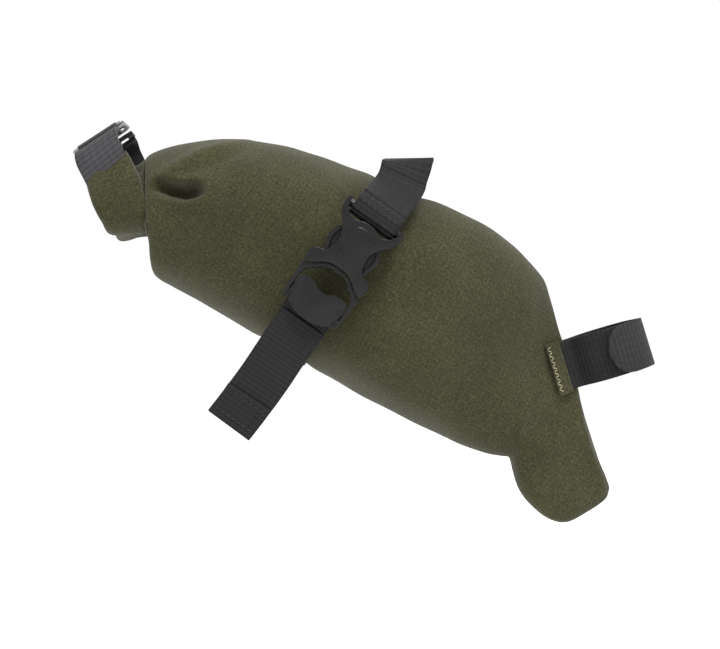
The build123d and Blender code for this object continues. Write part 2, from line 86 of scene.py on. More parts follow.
def node(tree, kind, settings=None, **inputs):
    """Adds a node. Inputs are given by name: a socket is linked and anything else is a value."""
    made = tree.nodes.new("ShaderNode" + kind)
    for key, value in (settings or {}).items():
        setattr(made, key, value)
    for key, value in inputs.items():
        socket = made.inputs[int(key[1:])] if key[0] == "i" and key[1:].isdigit() else made.inputs[key]
        if isinstance(value, bpy.types.NodeSocket):
            tree.links.new(value, socket)
        else:
            socket.default_value = value
    return made


def ramp(tree, factor, stops):
    """A colour ramp through (place, hex colour) stops."""
    made = node(tree, "ValToRGB", None, i0=factor)
    while len(made.color_ramp.elements) < len(stops):
        made.color_ramp.elements.new(0.5)
    for element, (place, hex_code) in zip(made.color_ramp.elements, stops):
        element.position = place
        element.color = colour(hex_code)
    return made.outputs["Color"]


def material(name):
    """A new material with its node tree and its shader."""
    made = bpy.data.materials.new(name)
    made.use_nodes = True
    return made, made.node_tree, made.node_tree.nodes["Principled BSDF"]


def finish_surface(tree, shader, base, roughness, height, distance):
    """Links colour, roughness and a bump of so many metres to the shader."""
    if isinstance(roughness, bpy.types.NodeSocket):
        tree.links.new(roughness, shader.inputs["Roughness"])
    else:
        shader.inputs["Roughness"].default_value = roughness
    tree.links.new(base, shader.inputs["Base Color"])
    bump = node(tree, "Bump", None, Strength=1.0, Distance=distance, Height=height)
    tree.links.new(bump.outputs["Normal"], shader.inputs["Normal"])


# %% [markdown]
# The bag is made of a melange canvas: two shades of olive yarn in a plain weave, which reads as a fine
# speckle from a step away. The weave runs along the piece, so it follows the UV map, whose units are
# metres of cloth. Two waves across each other make the threads, and two sizes of noise make the flecks
# of lighter yarn and the slight fading over the panel.


# %% Canvas
def bands(width):
    """The scale at which a wave texture's bands lie so many millimetres apart on a UV in metres."""
    return 1000 / width / 20 * pi


def canvas(name, dark, mid, light, thread=0.9):
    made, tree, shader = material(name)
    uv = node(tree, "UVMap").outputs["UV"]
    where = node(tree, "TexCoord").outputs["Object"]
    warp = node(tree, "TexWave", {"bands_direction": "X"}, Vector=uv, Scale=bands(thread))
    warp.inputs["Distortion"].default_value = 1.2
    weft = node(tree, "TexWave", {"bands_direction": "Y"}, Vector=uv, Scale=bands(thread))
    weft.inputs["Distortion"].default_value = 1.2
    weave = node(tree, "Math", {"operation": "MAXIMUM"}, i0=warp.outputs["Fac"], i1=weft.outputs["Fac"])
    flecks = node(tree, "TexNoise", None, Vector=where, Scale=1900.0, Detail=3.0, Roughness=0.75)
    clumps = node(tree, "TexNoise", None, Vector=where, Scale=700.0, Detail=2.0, Roughness=0.6)
    fading = node(tree, "TexNoise", None, Vector=where, Scale=26.0, Detail=2.0, Roughness=0.5)
    blend = node(tree, "Math", {"operation": "MULTIPLY_ADD"}, i0=clumps.outputs["Fac"], i1=0.3)
    tree.links.new(flecks.outputs["Fac"], blend.inputs[2])
    faded = node(tree, "Math", {"operation": "MULTIPLY_ADD"}, i0=fading.outputs["Fac"], i1=0.3)
    tree.links.new(blend.outputs["Value"], faded.inputs[2])
    threads = node(tree, "Math", {"operation": "MULTIPLY_ADD"}, i0=weave.outputs["Value"], i1=0.07)
    tree.links.new(faded.outputs["Value"], threads.inputs[2])
    spread = node(tree, "MapRange", None, i0=threads.outputs["Value"], i1=0.6, i2=1.17)
    base = ramp(tree, spread.outputs["Result"], [(0.18, dark), (0.5, mid), (0.85, light)])
    finish_surface(tree, shader, base, 0.92, threads.outputs["Value"], 0.00035)
    shader.inputs["Sheen Weight"].default_value = 0.12
    shader.inputs["Sheen Roughness"].default_value = 0.5
    shader.inputs["Specular IOR Level"].default_value = 0.15
    return made


olive_canvas = canvas("olive_melange_canvas", "272616", "373622", "4D4B31")
print("material", olive_canvas.name)

# %% [markdown]
# Nylon webbing is woven with ribs across it and fine ridges along it, and its edges are a little
# thicker. The ribs are about a millimetre apart. The yarn shines a little along the ribs.


# %% Webbing, pile, thread and lining
def webbing_material(name, dark, light, rib=0.95, ridge=1.6):
    made, tree, shader = material(name)
    uv = node(tree, "UVMap").outputs["UV"]
    ribs = node(tree, "TexWave", {"bands_direction": "Y"}, Vector=uv, Scale=bands(rib))
    ribs.inputs["Distortion"].default_value = 0.8
    ridges = node(tree, "TexWave", {"bands_direction": "X"}, Vector=uv, Scale=bands(ridge))
    ridges.inputs["Distortion"].default_value = 0.5
    where = node(tree, "TexCoord").outputs["Object"]
    fuzz = node(tree, "TexNoise", None, Vector=where, Scale=1100.0, Detail=3.0)
    worn = node(tree, "TexNoise", None, Vector=where, Scale=60.0, Detail=2.0)
    height = node(tree, "Math", {"operation": "MULTIPLY_ADD"}, i0=ridges.outputs["Fac"], i1=0.4)
    tree.links.new(ribs.outputs["Fac"], height.inputs[2])
    rough = node(tree, "Math", {"operation": "MULTIPLY_ADD"}, i0=fuzz.outputs["Fac"], i1=0.9)
    tree.links.new(height.outputs["Value"], rough.inputs[2])
    tone = node(tree, "Math", {"operation": "MULTIPLY_ADD"}, i0=worn.outputs["Fac"], i1=1.4)
    tree.links.new(rough.outputs["Value"], tone.inputs[2])
    spread = node(tree, "MapRange", None, i0=tone.outputs["Value"], i1=0.6, i2=3.2)
    base = ramp(tree, spread.outputs["Result"], [(0.1, dark), (0.9, light)])
    finish_surface(tree, shader, base, 0.68, rough.outputs["Value"], 0.0001)
    shader.inputs["Sheen Weight"].default_value = 0.02
    shader.inputs["Specular IOR Level"].default_value = 0.16
    return made


def plain_material(name, dark, light, scale, roughness, depth, specular=0.5, metallic=0.0):
    """A moulded, spun or rolled surface: fine noise in colour and height at one scale."""
    made, tree, shader = material(name)
    where = node(tree, "TexCoord").outputs["Object"]
    fine = node(tree, "TexNoise", None, Vector=where, Scale=scale, Detail=3.0, Roughness=0.6)
    wide = node(tree, "TexNoise", None, Vector=where, Scale=scale / 9, Detail=2.0)
    both = node(tree, "Math", {"operation": "MULTIPLY_ADD"}, i0=wide.outputs["Fac"], i1=0.7)
    tree.links.new(fine.outputs["Fac"], both.inputs[2])
    spread = node(tree, "MapRange", None, i0=both.outputs["Value"], i1=0.5, i2=1.2)
    base = ramp(tree, spread.outputs["Result"], [(0.1, dark), (0.9, light)])
    rough = node(tree, "MapRange", None, i0=both.outputs["Value"], i1=0.5, i2=1.2)
    rough.inputs[3].default_value = roughness - 0.08
    rough.inputs[4].default_value = min(1.0, roughness + 0.08)
    finish_surface(tree, shader, base, rough.outputs["Result"], fine.outputs["Fac"], depth)
    shader.inputs["Specular IOR Level"].default_value = specular
    shader.inputs["Metallic"].default_value = metallic
    return made


black_webbing = webbing_material("black_nylon_webbing", "121213", "202021")
charcoal_webbing = webbing_material("charcoal_nylon_webbing", "1C1C1D", "2E2E30")
grey_webbing = webbing_material("grey_nylon_webbing", "2A292B", "403F41")
loop_pile = plain_material("loop_pile", "121213", "2C2C2E", 1400.0, 0.95, 0.0006, 0.2)
hook_pile = plain_material("hook_pile", "151516", "39393C", 900.0, 0.6, 0.0008, 0.4)
black_thread = plain_material("black_sewing_thread", "141414", "333333", 2500.0, 0.8, 0.0001)
beige_thread = plain_material("beige_sewing_thread", "6F6A4F", "A8A284", 2500.0, 0.8, 0.0001)
black_acetal = plain_material("black_moulded_acetal", "101011", "18181A", 1500.0, 0.3, 0.00003, 0.22)
dark_lining = plain_material("dark_coated_lining", "1D1E1D", "2E2F2D", 700.0, 0.55, 0.0001, 0.4)
satin_aluminium = plain_material("satin_aluminium", "76777A", "98999C", 1800.0, 0.32, 0.00002, 0.5, 1.0)
floor_paint = plain_material("floor_paint", "F6F6F5", "FAFAF9", 12.0, 0.9, 0.0)
print("materials", len(bpy.data.materials))

# %% [markdown]
# Every piece is built in a bmesh in millimetres, in the row's own frame, and scaled to metres when it
# is stored. The object stays at the origin, and its place is in its vertices. `store` also says which
# CAD body the piece moves with and which CAD nodes it stands for.


# %% Storing a piece
def store(bm, name, surface, body, nodes=(), smooth=True, fix_normals=True):
    if fix_normals:
        bmesh.ops.recalc_face_normals(bm, faces=bm.faces)
    bmesh.ops.scale(bm, vec=(MM, MM, MM), verts=bm.verts)
    mesh = bpy.data.meshes.new(name)
    bm.to_mesh(mesh)
    bm.free()
    for polygon in mesh.polygons:
        polygon.use_smooth = smooth
    piece = bpy.data.objects.new(name, mesh)
    bpy.context.scene.collection.objects.link(piece)
    for one in surface if isinstance(surface, list) else [surface]:
        mesh.materials.append(one)
    if body:
        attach(piece, body)
    if nodes:
        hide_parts(*nodes)
    return piece


def add_modifier(piece, kind, **settings):
    made = piece.modifiers.new(kind.title(), kind)
    for key, value in settings.items():
        setattr(made, key, value)
    return made


def soften(bm, edges, width, segments=2):
    """Rounds edges with the settings that the editor's own bevel has."""
    bmesh.ops.bevel(
        bm,
        geom=edges,
        offset=width,
        offset_type="OFFSET",
        segments=segments,
        profile=0.5,
        affect="EDGES",
        material=-1,
        clamp_overlap=True,
    )


def sharp_edges(bm, degrees_over=50):
    return [e for e in bm.edges if len(e.link_faces) == 2 and e.calc_face_angle() > radians(degrees_over)]


# %% [markdown]
# The frame's directions come from the CAD: the seatpost's axis from its loop mount, and the strap's
# line from the slide of the buckle. The buckle's own frame has x across the strap towards the front,
# y up the strap and z outwards.

# %% Directions
joints = {j["name"]: j for j in frame["joints"]}
mounts = {m["name"]: m for m in frame["record"]["mounts"]}
POST_UP = Vector(mounts["seatpost_loop"]["axis"])
POST_FORWARD = Vector((POST_UP.z, 0, -POST_UP.x))
POST_RADIUS = mounts["seatpost_loop"]["dims"]["r_mm"]
STRAP_UP = -Vector(joints["buckle_slide"]["axis"])
STRAP_FORWARD = Vector((STRAP_UP.z, 0, -STRAP_UP.x))
SIDE = Vector((0, 1, 0))
HOOK_AXIS = Vector(joints["hook_lift"]["axis"])
ROLL_UP = Vector((-HOOK_AXIS.z, 0, HOOK_AXIS.x))
socket_low, socket_high = (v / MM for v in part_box("buckle_socket"))
BUCKLE_BACK = socket_high.y
WEBBING = 1.4
WIDTH = 20.0
print("post", POST_UP, "strap", STRAP_UP, "buckle back", BUCKLE_BACK)


def placed(origin, x_axis, y_axis, z_axis):
    """The matrix that takes local millimetres to the row frame."""
    turned = Matrix((x_axis, y_axis, z_axis)).transposed().to_4x4()
    return Matrix.Translation(origin) @ turned


# %% [markdown]
# The body is a loft. Each section is an ellipse made a little squarer, given by the lowest and highest
# point and the half width. The sections run from the open mouth at the rear to the flat seam at the
# seatpost, and fan out round the toe. A smooth line through them gives as many rings as wanted: few
# for the cloth simulation, many for the skin. Bridging the rings gives an even skin of quads.

# %% The body's sections
SECTIONS = [
    ((-186.2, 33.4), (-190.2, 79.9), 27.4),
    ((-185.6, 31.6), (-189.9, 81.6), 29.4),
    ((-183.6, 30.0), (-186.6, 83.8), 30.6),
    ((-180.0, 28.0), (-180.0, 85.9), 32.0),
    ((-172.0, 23.0), (-168.5, 88.2), 34.0),
    ((-160.0, 15.9), (-153.0, 88.6), 35.6),
    ((-147.0, 8.4), (-137.0, 86.0), 36.7),
    ((-134.5, 0.9), (-120.0, 81.4), 37.2),
    ((-121.0, -6.7), (-104.0, 75.4), 37.0),
    ((-107.0, -14.0), (-89.0, 69.8), 36.0),
    ((-93.0, -21.3), (-75.0, 64.6), 34.0),
    ((-80.0, -28.2), (-63.0, 59.2), 30.8),
    ((-69.0, -34.2), (-53.0, 53.8), 27.0),
    ((-59.5, -39.2), (-45.0, 48.8), 23.4),
    ((-50.5, -42.0), (-39.5, 44.8), 20.4),
    ((-43.4, -42.8), (-35.8, 41.4), 18.2),
    ((-40.4, -43.2), (-33.6, 39.2), 16.8),
    ((-39.0, -45.6), (-32.4, 38.0), 16.0),
    ((-37.9, -49.6), (-31.0, 36.6), 15.2),
    ((-35.6, -56.0), (-29.2, 34.6), 13.6),
    ((-31.0, -62.8), (-27.4, 32.4), 11.8),
    ((-24.4, -68.4), (-26.0, 30.4), 10.2),
    ((-16.6, -69.8), (-25.0, 28.2), 8.8),
    ((-7.6, -65.0), (-24.2, 25.4), 7.4),
    ((-1.4, -60.6), (-23.4, 22.4), 6.4),
    ((0.0, -58.2), (-22.8, 19.9), 5.0),
    ((0.5, -56.2), (-22.6, 18.2), 3.2),
]


def between(points, steps, closed=False):
    """A smooth line through points, with so many steps from each to the next."""
    count = len(points)
    out = []
    for i in range(count if closed else count - 1):
        if closed:
            four = [points[(i + k) % count] for k in (-1, 0, 1, 2)]
        else:
            four = [points[max(0, min(count - 1, i + k))] for k in (-1, 0, 1, 2)]
        for n in range(steps):
            t = n / steps
            weights = (
                (-t + 2 * t * t - t**3) / 2,
                (2 - 5 * t * t + 3 * t**3) / 2,
                (t + 4 * t * t - 3 * t**3) / 2,
                (-t * t + t**3) / 2,
            )
            out.append(tuple(sum(w * f[k] for w, f in zip(weights, four)) for k in range(len(four[0]))))
    return out if closed else out + [tuple(points[-1])]


def fuller(angle, power=2.35):
    """How much further out a squarer oval lies than an ellipse at that angle."""
    c, s = abs(cos(angle)), abs(sin(angle))
    return (c**power + s**power) ** (-1 / power)


def add_ring(bm, matrix, segments, shape):
    """A ring of so many edges, unit size, moved by a matrix. shape(angle) is its radius."""
    ring = bmesh.ops.create_circle(bm, cap_ends=False, segments=segments, radius=1.0)["verts"]
    for v in ring:
        v.co = matrix @ (v.co * shape(atan2(v.co.y, v.co.x)))
    return ring


def bridge(bm, first, second):
    """Joins two rings with quads."""
    edges = {e for ring in (first, second) for v in ring for e in v.link_edges if e.other_vert(v) in ring}
    bmesh.ops.bridge_loops(bm, edges=[e for e in edges if len(e.link_faces) < 2])


def ring_place(centre, across, up):
    """The matrix that lays a unit ring at a centre, with its half width and half height as vectors."""
    turned_ring = Matrix((across, up, across.cross(up).normalized())).transposed().to_4x4()
    return Matrix.Translation(centre) @ turned_ring


def loft(stations, segments):
    """A skin of quads in a new bmesh through (matrix, shape) stations, and its rings."""
    bm = bmesh.new()
    rings = []
    for matrix, shape in stations:
        ring = add_ring(bm, matrix, segments, shape)
        if rings:
            bridge(bm, rings[-1], ring)
        rings.append(ring)
    return bm, rings


def close_ends(bm):
    bmesh.ops.holes_fill(bm, edges=[e for e in bm.edges if e.is_boundary])


# %% [markdown]
# The same loft serves twice: coarse for the cloth simulation, and fine for the skin that is shown.


# %% Lofting the body
def loft_body(steps, segments):
    """The body's skin, with so many rings to a section and so many points to a ring."""
    flat = [(*bottom, *top, half_width) for bottom, top, half_width in SECTIONS]
    stations = []
    for low_x, low_z, high_x, high_z, half_width in between(flat, steps):
        low, high = Vector((low_x, 0, low_z)), Vector((high_x, 0, high_z))
        stations.append((ring_place((low + high) / 2, SIDE * half_width, (high - low) / 2), fuller))
    return loft(stations, segments)


# %% [markdown]
# Cloth simulation fills the bag out. The coarse loft is closed and inflated a little, with the places
# where the real bag is held kept still: the mouth, the strap's band and the front seam. What each
# point moved is then handed to the fine skin, so the skin keeps its even quads.

# %% Filling the bag out
PUFF = 3.2
CLOTH = 1.5
CLOTH_FRAMES = 20
BAND_REAR = 8.3  # from the front prong's pivot back to the middle of the strap
MOUTH_X = -186.0
STRAP_FOOT = Vector(joints["front_prong_squeeze"]["pos_m"]) / MM


def held(spot):
    """How firmly a point of the skin is held, from 0 to 1."""
    from_strap = abs((spot - STRAP_FOOT).dot(STRAP_FORWARD) + BAND_REAR)
    from_mouth = spot.x - MOUTH_X
    from_post = -(spot.dot(POST_FORWARD) + POST_RADIUS)
    return max(
        exp(-((from_strap / 11.0) ** 4)),
        exp(-((max(0.0, from_mouth) / 9.0) ** 2)),
        exp(-((max(0.0, from_post) / 12.0) ** 2)),
    )


def inflate():
    """The closed coarse loft before and after some frames of cloth under pressure."""
    bm, _ = loft_body(2, 64)
    close_ends(bm)
    bmesh.ops.recalc_face_normals(bm, faces=bm.faces)
    before = [v.co.copy() for v in bm.verts]
    grip = [held(v.co) for v in bm.verts]
    bmesh.ops.scale(bm, vec=(MM, MM, MM), verts=bm.verts)
    mesh = bpy.data.meshes.new("puff")
    bm.to_mesh(mesh)
    faces = [tuple(p.vertices) for p in mesh.polygons]
    bm.free()
    bladder = bpy.data.objects.new("puff", mesh)
    bpy.context.scene.collection.objects.link(bladder)
    group = bladder.vertex_groups.new(name="held")
    for i, weight in enumerate(grip):
        if weight > 0.04:
            group.add([i], weight, "REPLACE")
    cloth = bladder.modifiers.new("Cloth", "CLOTH").settings
    cloth.quality = 6
    cloth.mass = 0.25
    cloth.tension_stiffness = 12
    cloth.compression_stiffness = 12
    cloth.shear_stiffness = 4
    cloth.bending_stiffness = 0.8
    cloth.vertex_group_mass = "held"
    cloth.use_pressure = True
    cloth.uniform_pressure_force = 4.0
    cloth.effector_weights.gravity = 0
    scene = bpy.context.scene
    for frame_number in range(1, CLOTH_FRAMES + 1):
        scene.frame_set(frame_number)
    solved = bladder.evaluated_get(bpy.context.evaluated_depsgraph_get())
    after = [v.co / MM for v in solved.data.vertices]
    scene.frame_set(1)
    bpy.data.objects.remove(bladder)
    return before, faces, [b - a for a, b in zip(before, after)]


def puffed(bm):
    """Moves the fine skin as the cloth moved, by at most PUFF millimetres."""
    before, faces, moves = inflate()
    tree = BVHTree.FromPolygons(before, faces)
    longest = 0.0
    for v in bm.verts:
        spot, _, face, _ = tree.find_nearest(v.co)
        weights = [1.0 / ((before[i] - spot).length + 0.05) for i in faces[face]]
        move = sum((moves[i] * w for i, w in zip(faces[face], weights)), Vector()) / sum(weights)
        if move.length > PUFF:
            move *= PUFF / move.length
        longest = max(longest, move.length)
        v.co += move
    print("cloth moved the skin by up to", round(longest, 2), "mm")


# %% [markdown]
# The strap is pulled tight, so the bag gives under it. The deep fold near the rear is where the side
# panel is tucked in as the neck is rolled up, and a soft valley sets the toe off from the floor. Each
# is a push on the skin that falls off with the distance from a line.


# %% Pushes on the skin
def nearest_on(points, spot):
    """The distance from a spot to a line through points, and how far along it that is."""
    best, place, walked = 1e9, 0.0, 0.0
    for a, b in zip(points, points[1:]):
        run = b - a
        share = max(0.0, min(1.0, (spot - a).dot(run) / run.length_squared))
        distance = (a + run * share - spot).length
        if distance < best:
            best, place = distance, walked + share * run.length
        walked += run.length
    return best, place / walked


def push(bm, line, depth, width, sharp=2.0, only_side=-1, taper=True):
    """Moves the skin in (depth above 0) or out beside a line given in x and z."""
    points = [Vector((x, 0, z)) for x, z in line]
    bm.normal_update()
    for v in bm.verts:
        if only_side and v.co.y * only_side < 0:
            continue
        distance, share = nearest_on(points, Vector((v.co.x, 0, v.co.z)))
        if distance > 4 * width:
            continue
        fade = sin(pi * share) ** 0.6 if taper else 1.0
        v.co -= v.normal * depth * fade * exp(-((distance / width) ** sharp))


def ripple(bm, size, depth, seed, stretch=(1, 1, 1)):
    """Small irregular dents and swells along the normals, as cloth has where it is bunched."""
    bm.normal_update()
    moves = []
    for v in bm.verts:
        spot = Vector([c * k / size for c, k in zip(v.co, stretch)]) + Vector((seed, seed * 0.7, seed * 1.3))
        moves.append(v.normal * noise.noise(spot) * depth)
    for v, move in zip(bm.verts, moves):
        v.co += move


def tuck(bm):
    """The folded-in pocket on both sides of the rear: dark inside, with a round lip below it."""
    for side in (-1, 1):
        push(bm, [(-185.8, 68.2), (-180.0, 66.6), (-173.0, 65.0), (-165.4, 66.4)], 11.5, 3.0, 4.0, side)
        push(bm, [(-186.0, 64.0), (-179.0, 60.6), (-172.0, 59.0), (-163.0, 61.0)], -1.9, 2.4, 2.0, side)
        push(bm, [(-187.0, 69.6), (-172.0, 76.6), (-158.0, 83.6), (-146.0, 87.0)], -1.5, 2.4, 2.0, side)
        push(bm, [(-184.0, 69.6), (-170.0, 73.6), (-156.0, 80.4), (-146.0, 84.0)], 1.3, 2.6, 2.0, side)
        push(bm, [(-170.0, 70.5), (-160.0, 74.5), (-150.0, 77.0)], 1.2, 5.0, 2.0, side)
        push(bm, [(-186.0, 56.0), (-176.0, 50.0), (-160.0, 47.0)], 0.9, 7.0, 2.0, side)


def toe_valley(bm):
    for side in (-1, 1):
        push(bm, [(-37.0, -37.0), (-32.0, -33.5), (-25.0, -31.0), (-14.0, -32.0)], 1.7, 5.0, 2.0, side)
        push(bm, [(-26.0, -62.0), (-16.0, -50.0), (-10.0, -38.0)], 0.9, 5.0, 2.0, side)


body_mesh, body_rings = loft_body(7, 176)
seam_edges = [e for e in body_mesh.edges if e.is_boundary and e.verts[0] in body_rings[-1]]
bmesh.ops.holes_fill(body_mesh, edges=seam_edges)
bmesh.ops.recalc_face_normals(body_mesh, faces=body_mesh.faces)
puffed(body_mesh)
tuck(body_mesh)
toe_valley(body_mesh)
strap_foot = STRAP_FOOT - STRAP_FORWARD * BAND_REAR
band_ends = (strap_foot - STRAP_UP * 60, strap_foot + STRAP_UP * 60)
for side in (-1, 1):
    push(body_mesh, [(p.x, p.z) for p in band_ends], 1.3, 11.5, 4.0, side, False)
ripple(body_mesh, 34.0, 1.7, 2.0)
ripple(body_mesh, 13.0, 0.45, 5.0)
print("body faces", len(body_mesh.faces))


# %% [markdown]
# The weave follows the cut of the cloth, which is sewn from side, top, bottom and end panels. Each face
# takes its UV, in metres, from the panel that it faces most.


# %% The cloth's UV map
def panel_uv(bm, along, up):
    """UVs in metres: each face lies flat in the side, the top or the end panel that it faces."""
    layer = bm.loops.layers.uv.verify()
    bm.normal_update()
    panels = ((SIDE, along, up), (up, along, SIDE), (along, SIDE, up))
    for face in bm.faces:
        _, across, upwards = max(panels, key=lambda panel: abs(face.normal.dot(panel[0])))
        for loop in face.loops:
            loop[layer].uv = (loop.vert.co.dot(across) * MM, loop.vert.co.dot(upwards) * MM)


BAG_ALONG = Vector((0.86, 0, -0.51))
BAG_UP = Vector((0.51, 0, 0.86))
panel_uv(body_mesh, BAG_ALONG, BAG_UP)
body = store(body_mesh, "bag_body", [olive_canvas, dark_lining], "bag", ["bag_shell"])
add_modifier(body, "SOLIDIFY", thickness=CLOTH * MM, offset=-1.0, material_offset=1, material_offset_rim=0)

# %% [markdown]
# Straps are flat goods, so each starts as a flat grid as wide and as long as the webbing, and its UV
# map is the flat cut in metres. The grid is then laid along a smooth line of stations and given its
# thickness. A station is a point and the direction across the webbing there.


# %% Laying webbing
def smooth_stations(stations, steps):
    """Points and across directions of a smooth line through the stations."""
    flat = [(*point, *across) for point, across in stations]
    return [(Vector(row[:3]), Vector(row[3:]).normalized()) for row in between(flat, steps)]


def lay_webbing(stations, width=WIDTH, thickness=WEBBING, round_end=0.0, steps=10, edge=0.32):
    """A strap in a new bmesh, laid on the stations, which run along its middle."""
    line = smooth_stations(stations, steps)
    places = [0.0]
    for (a, _), (b, _) in zip(line, line[1:]):
        places.append(places[-1] + (b - a).length)
    total = places[-1]
    bm = bmesh.new()
    uv = bm.loops.layers.uv.new("UVMap")
    rows = max(4, int(total / 0.9))
    bmesh.ops.create_grid(bm, x_segments=10, y_segments=rows, size=0.5)
    for face in bm.faces:
        for loop in face.loops:
            loop[uv].uv = (loop.vert.co.x * width * MM, (loop.vert.co.y + 0.5) * total * MM)
    index = 0
    for v in sorted(bm.verts, key=lambda v: v.co.y):
        along = (v.co.y + 0.5) * total
        while index < len(places) - 2 and places[index + 1] < along:
            index += 1
        share = (along - places[index]) / max(1e-9, places[index + 1] - places[index])
        (a, across_a), (b, across_b) = line[index], line[index + 1]
        across = across_a.lerp(across_b, share).normalized()
        half = width / 2
        left = total - along
        if round_end and left < round_end:
            half = half - round_end + (round_end**2 - (round_end - left) ** 2) ** 0.5
        v.co = a.lerp(b, share) + across * (v.co.x * 2 * half)
    bm.normal_update()
    for v in bm.verts:
        v.co += v.normal * thickness / 2
    bmesh.ops.solidify(bm, geom=bm.faces, thickness=thickness)
    bmesh.ops.recalc_face_normals(bm, faces=bm.faces)
    soften(bm, sharp_edges(bm), edge, 2)
    return bm


def webbing_piece(name, stations, body, nodes, surface=None, **settings):
    bm = lay_webbing(stations, **settings)
    piece = store(bm, name, surface or black_webbing, body, nodes)
    print(name, "faces", len(piece.data.polygons))
    return piece


# %% [markdown]
# The strap round the bag lies on the skin. Its line comes from rays cast in towards the middle of the
# bag in the strap's plane, so it follows the real surface and not a guess at it.

# %% The strap under the bag
graph = bpy.context.evaluated_depsgraph_get()
skin = BVHTree.FromObject(body, graph)
pivots = [Vector(joints[n]["pos_m"]) / MM for n in ("rear_prong_squeeze", "front_prong_squeeze")]
BUCKLE = (pivots[0] + pivots[1]) / 2 + STRAP_UP * 2.4
BUCKLE.y = BUCKLE_BACK
STRAP_LOW = BUCKLE - STRAP_UP * 38.5
STRAP_LOW.y = 0
STRAP_MIDDLE = STRAP_LOW + STRAP_UP * 41.5
OUTSIDE = 120.0  # well outside the bag


def at_buckle(x, y, z):
    return BUCKLE + STRAP_FORWARD * x + STRAP_UP * y - SIDE * z


def on_skin(angle, lift):
    """A point over the skin in the strap's plane. 0 degrees is the left side and 90 is up."""
    way = SIDE * cos(radians(angle)) + STRAP_UP * sin(radians(angle))
    hit = skin.ray_cast((STRAP_MIDDLE + way * OUTSIDE) * MM, -way)[0]
    return hit / MM + way * lift


under = [(on_skin(a, 0.75), STRAP_FORWARD) for a in range(33, -157, -8)]
webbing_piece("strap_under_bag", under, "bag", ["under_strap"], steps=4)

# %% [markdown]
# Above the bag the strap leaves the far side, goes over both saddle rails and comes down to the
# buckle, where it is folded round the socket's bar and sewn to itself. It turns as it goes: it lies
# along the rails on top and across the bag at the sides.

# %% The strap over the rails
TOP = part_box("rail_strap")[1].z / MM - WEBBING / 2
RAIL_X = -83.0
RAIL_Y = 22.0
turned = (STRAP_FORWARD + Vector((0.5, 0, 0))).normalized()
X = Vector((1, 0, 0))
over = [
    (at_buckle(0, 24.2, 6.3), STRAP_FORWARD),
    (at_buckle(0, 27.5, 6.1), STRAP_FORWARD),
    (at_buckle(0, 31.0, 4.6), STRAP_FORWARD),
    (Vector((RAIL_X - 3.4, -RAIL_Y - 7.6, 67.5)), turned),
    (Vector((RAIL_X - 1.6, -RAIL_Y - 4.9, 73.0)), turned),
    (Vector((RAIL_X, -RAIL_Y - 2.6, 77.4)), X),
    (Vector((RAIL_X + 0.4, -RAIL_Y + 2.0, TOP - 0.3)), X),
    (Vector((RAIL_X + 0.5, 0, TOP - 0.5)), X),
    (Vector((RAIL_X + 0.4, RAIL_Y - 2.0, TOP - 0.3)), X),
    (Vector((RAIL_X, RAIL_Y + 2.6, 77.4)), X),
    (Vector((RAIL_X - 1.6, RAIL_Y + 4.9, 73.0)), turned),
    (Vector((RAIL_X - 5.5, RAIL_Y + 8.6, 64.0)), turned),
    (on_skin(41, 1.0), STRAP_FORWARD),
    (on_skin(33, 1.0), STRAP_FORWARD),
]
webbing_piece("strap_over_rails", over, "bag", ["rail_strap"], steps=8)
fold = [
    (at_buckle(0, 33.5, 3.0), STRAP_FORWARD),
    (at_buckle(0, 30.0, 2.4), STRAP_FORWARD),
    (at_buckle(0, 26.6, 1.9), STRAP_FORWARD),
    (at_buckle(0, 23.6, 2.3), STRAP_FORWARD),
    (at_buckle(0, 22.7, 4.3), STRAP_FORWARD),
    (at_buckle(0, 24.0, 6.2), STRAP_FORWARD),
]
webbing_piece("strap_fold_at_socket", fold, "bag", [], steps=8)

# %% [markdown]
# The lower end of the strap comes up behind the plug, goes forward through the ladder, round its bar
# and down again, and hangs out as the free tail. The tail's end is folded twice and sewn, so it can't
# slip back through the plug.

# %% Webbing at the plug, and the tail
tail_hinge = Vector(joints["tail_swing"]["pos_m"]) / MM
TAIL_OUT = BUCKLE_BACK - tail_hinge.y
plug_line = [
    (at_buckle(0, -31.0, -1.0), STRAP_FORWARD),
    (at_buckle(0, -22.0, -1.0), STRAP_FORWARD),
    (at_buckle(0, -14.6, -0.9), STRAP_FORWARD),
    (at_buckle(0, -11.6, 1.0), STRAP_FORWARD),
    (at_buckle(0, -11.4, 3.6), STRAP_FORWARD),
    (at_buckle(0, -13.4, 5.0), STRAP_FORWARD),
    (at_buckle(0, -15.6, 4.4), STRAP_FORWARD),
    (at_buckle(0, -17.0, 2.9), STRAP_FORWARD),
    (at_buckle(0, -19.6, 2.4), STRAP_FORWARD),
    (at_buckle(0, -22.4, TAIL_OUT), STRAP_FORWARD),
]
webbing_piece("webbing_in_plug", plug_line, "plug", ["plug_webbing"], steps=6, width=19.8)
tail_line = [
    (at_buckle(0, -22.9, TAIL_OUT), STRAP_FORWARD),
    (at_buckle(0.2, -36, TAIL_OUT - 0.2), STRAP_FORWARD + STRAP_UP * 0.03),
    (at_buckle(0.6, -50, TAIL_OUT + 0.3), STRAP_FORWARD + STRAP_UP * 0.05),
    (at_buckle(0.4, -62, TAIL_OUT + 0.8), STRAP_FORWARD + STRAP_UP * 0.02),
    (at_buckle(0.0, -72.5, TAIL_OUT + 0.4), STRAP_FORWARD - STRAP_UP * 0.02),
]
webbing_piece("strap_tail", tail_line, "tail", ["tail_webbing"])
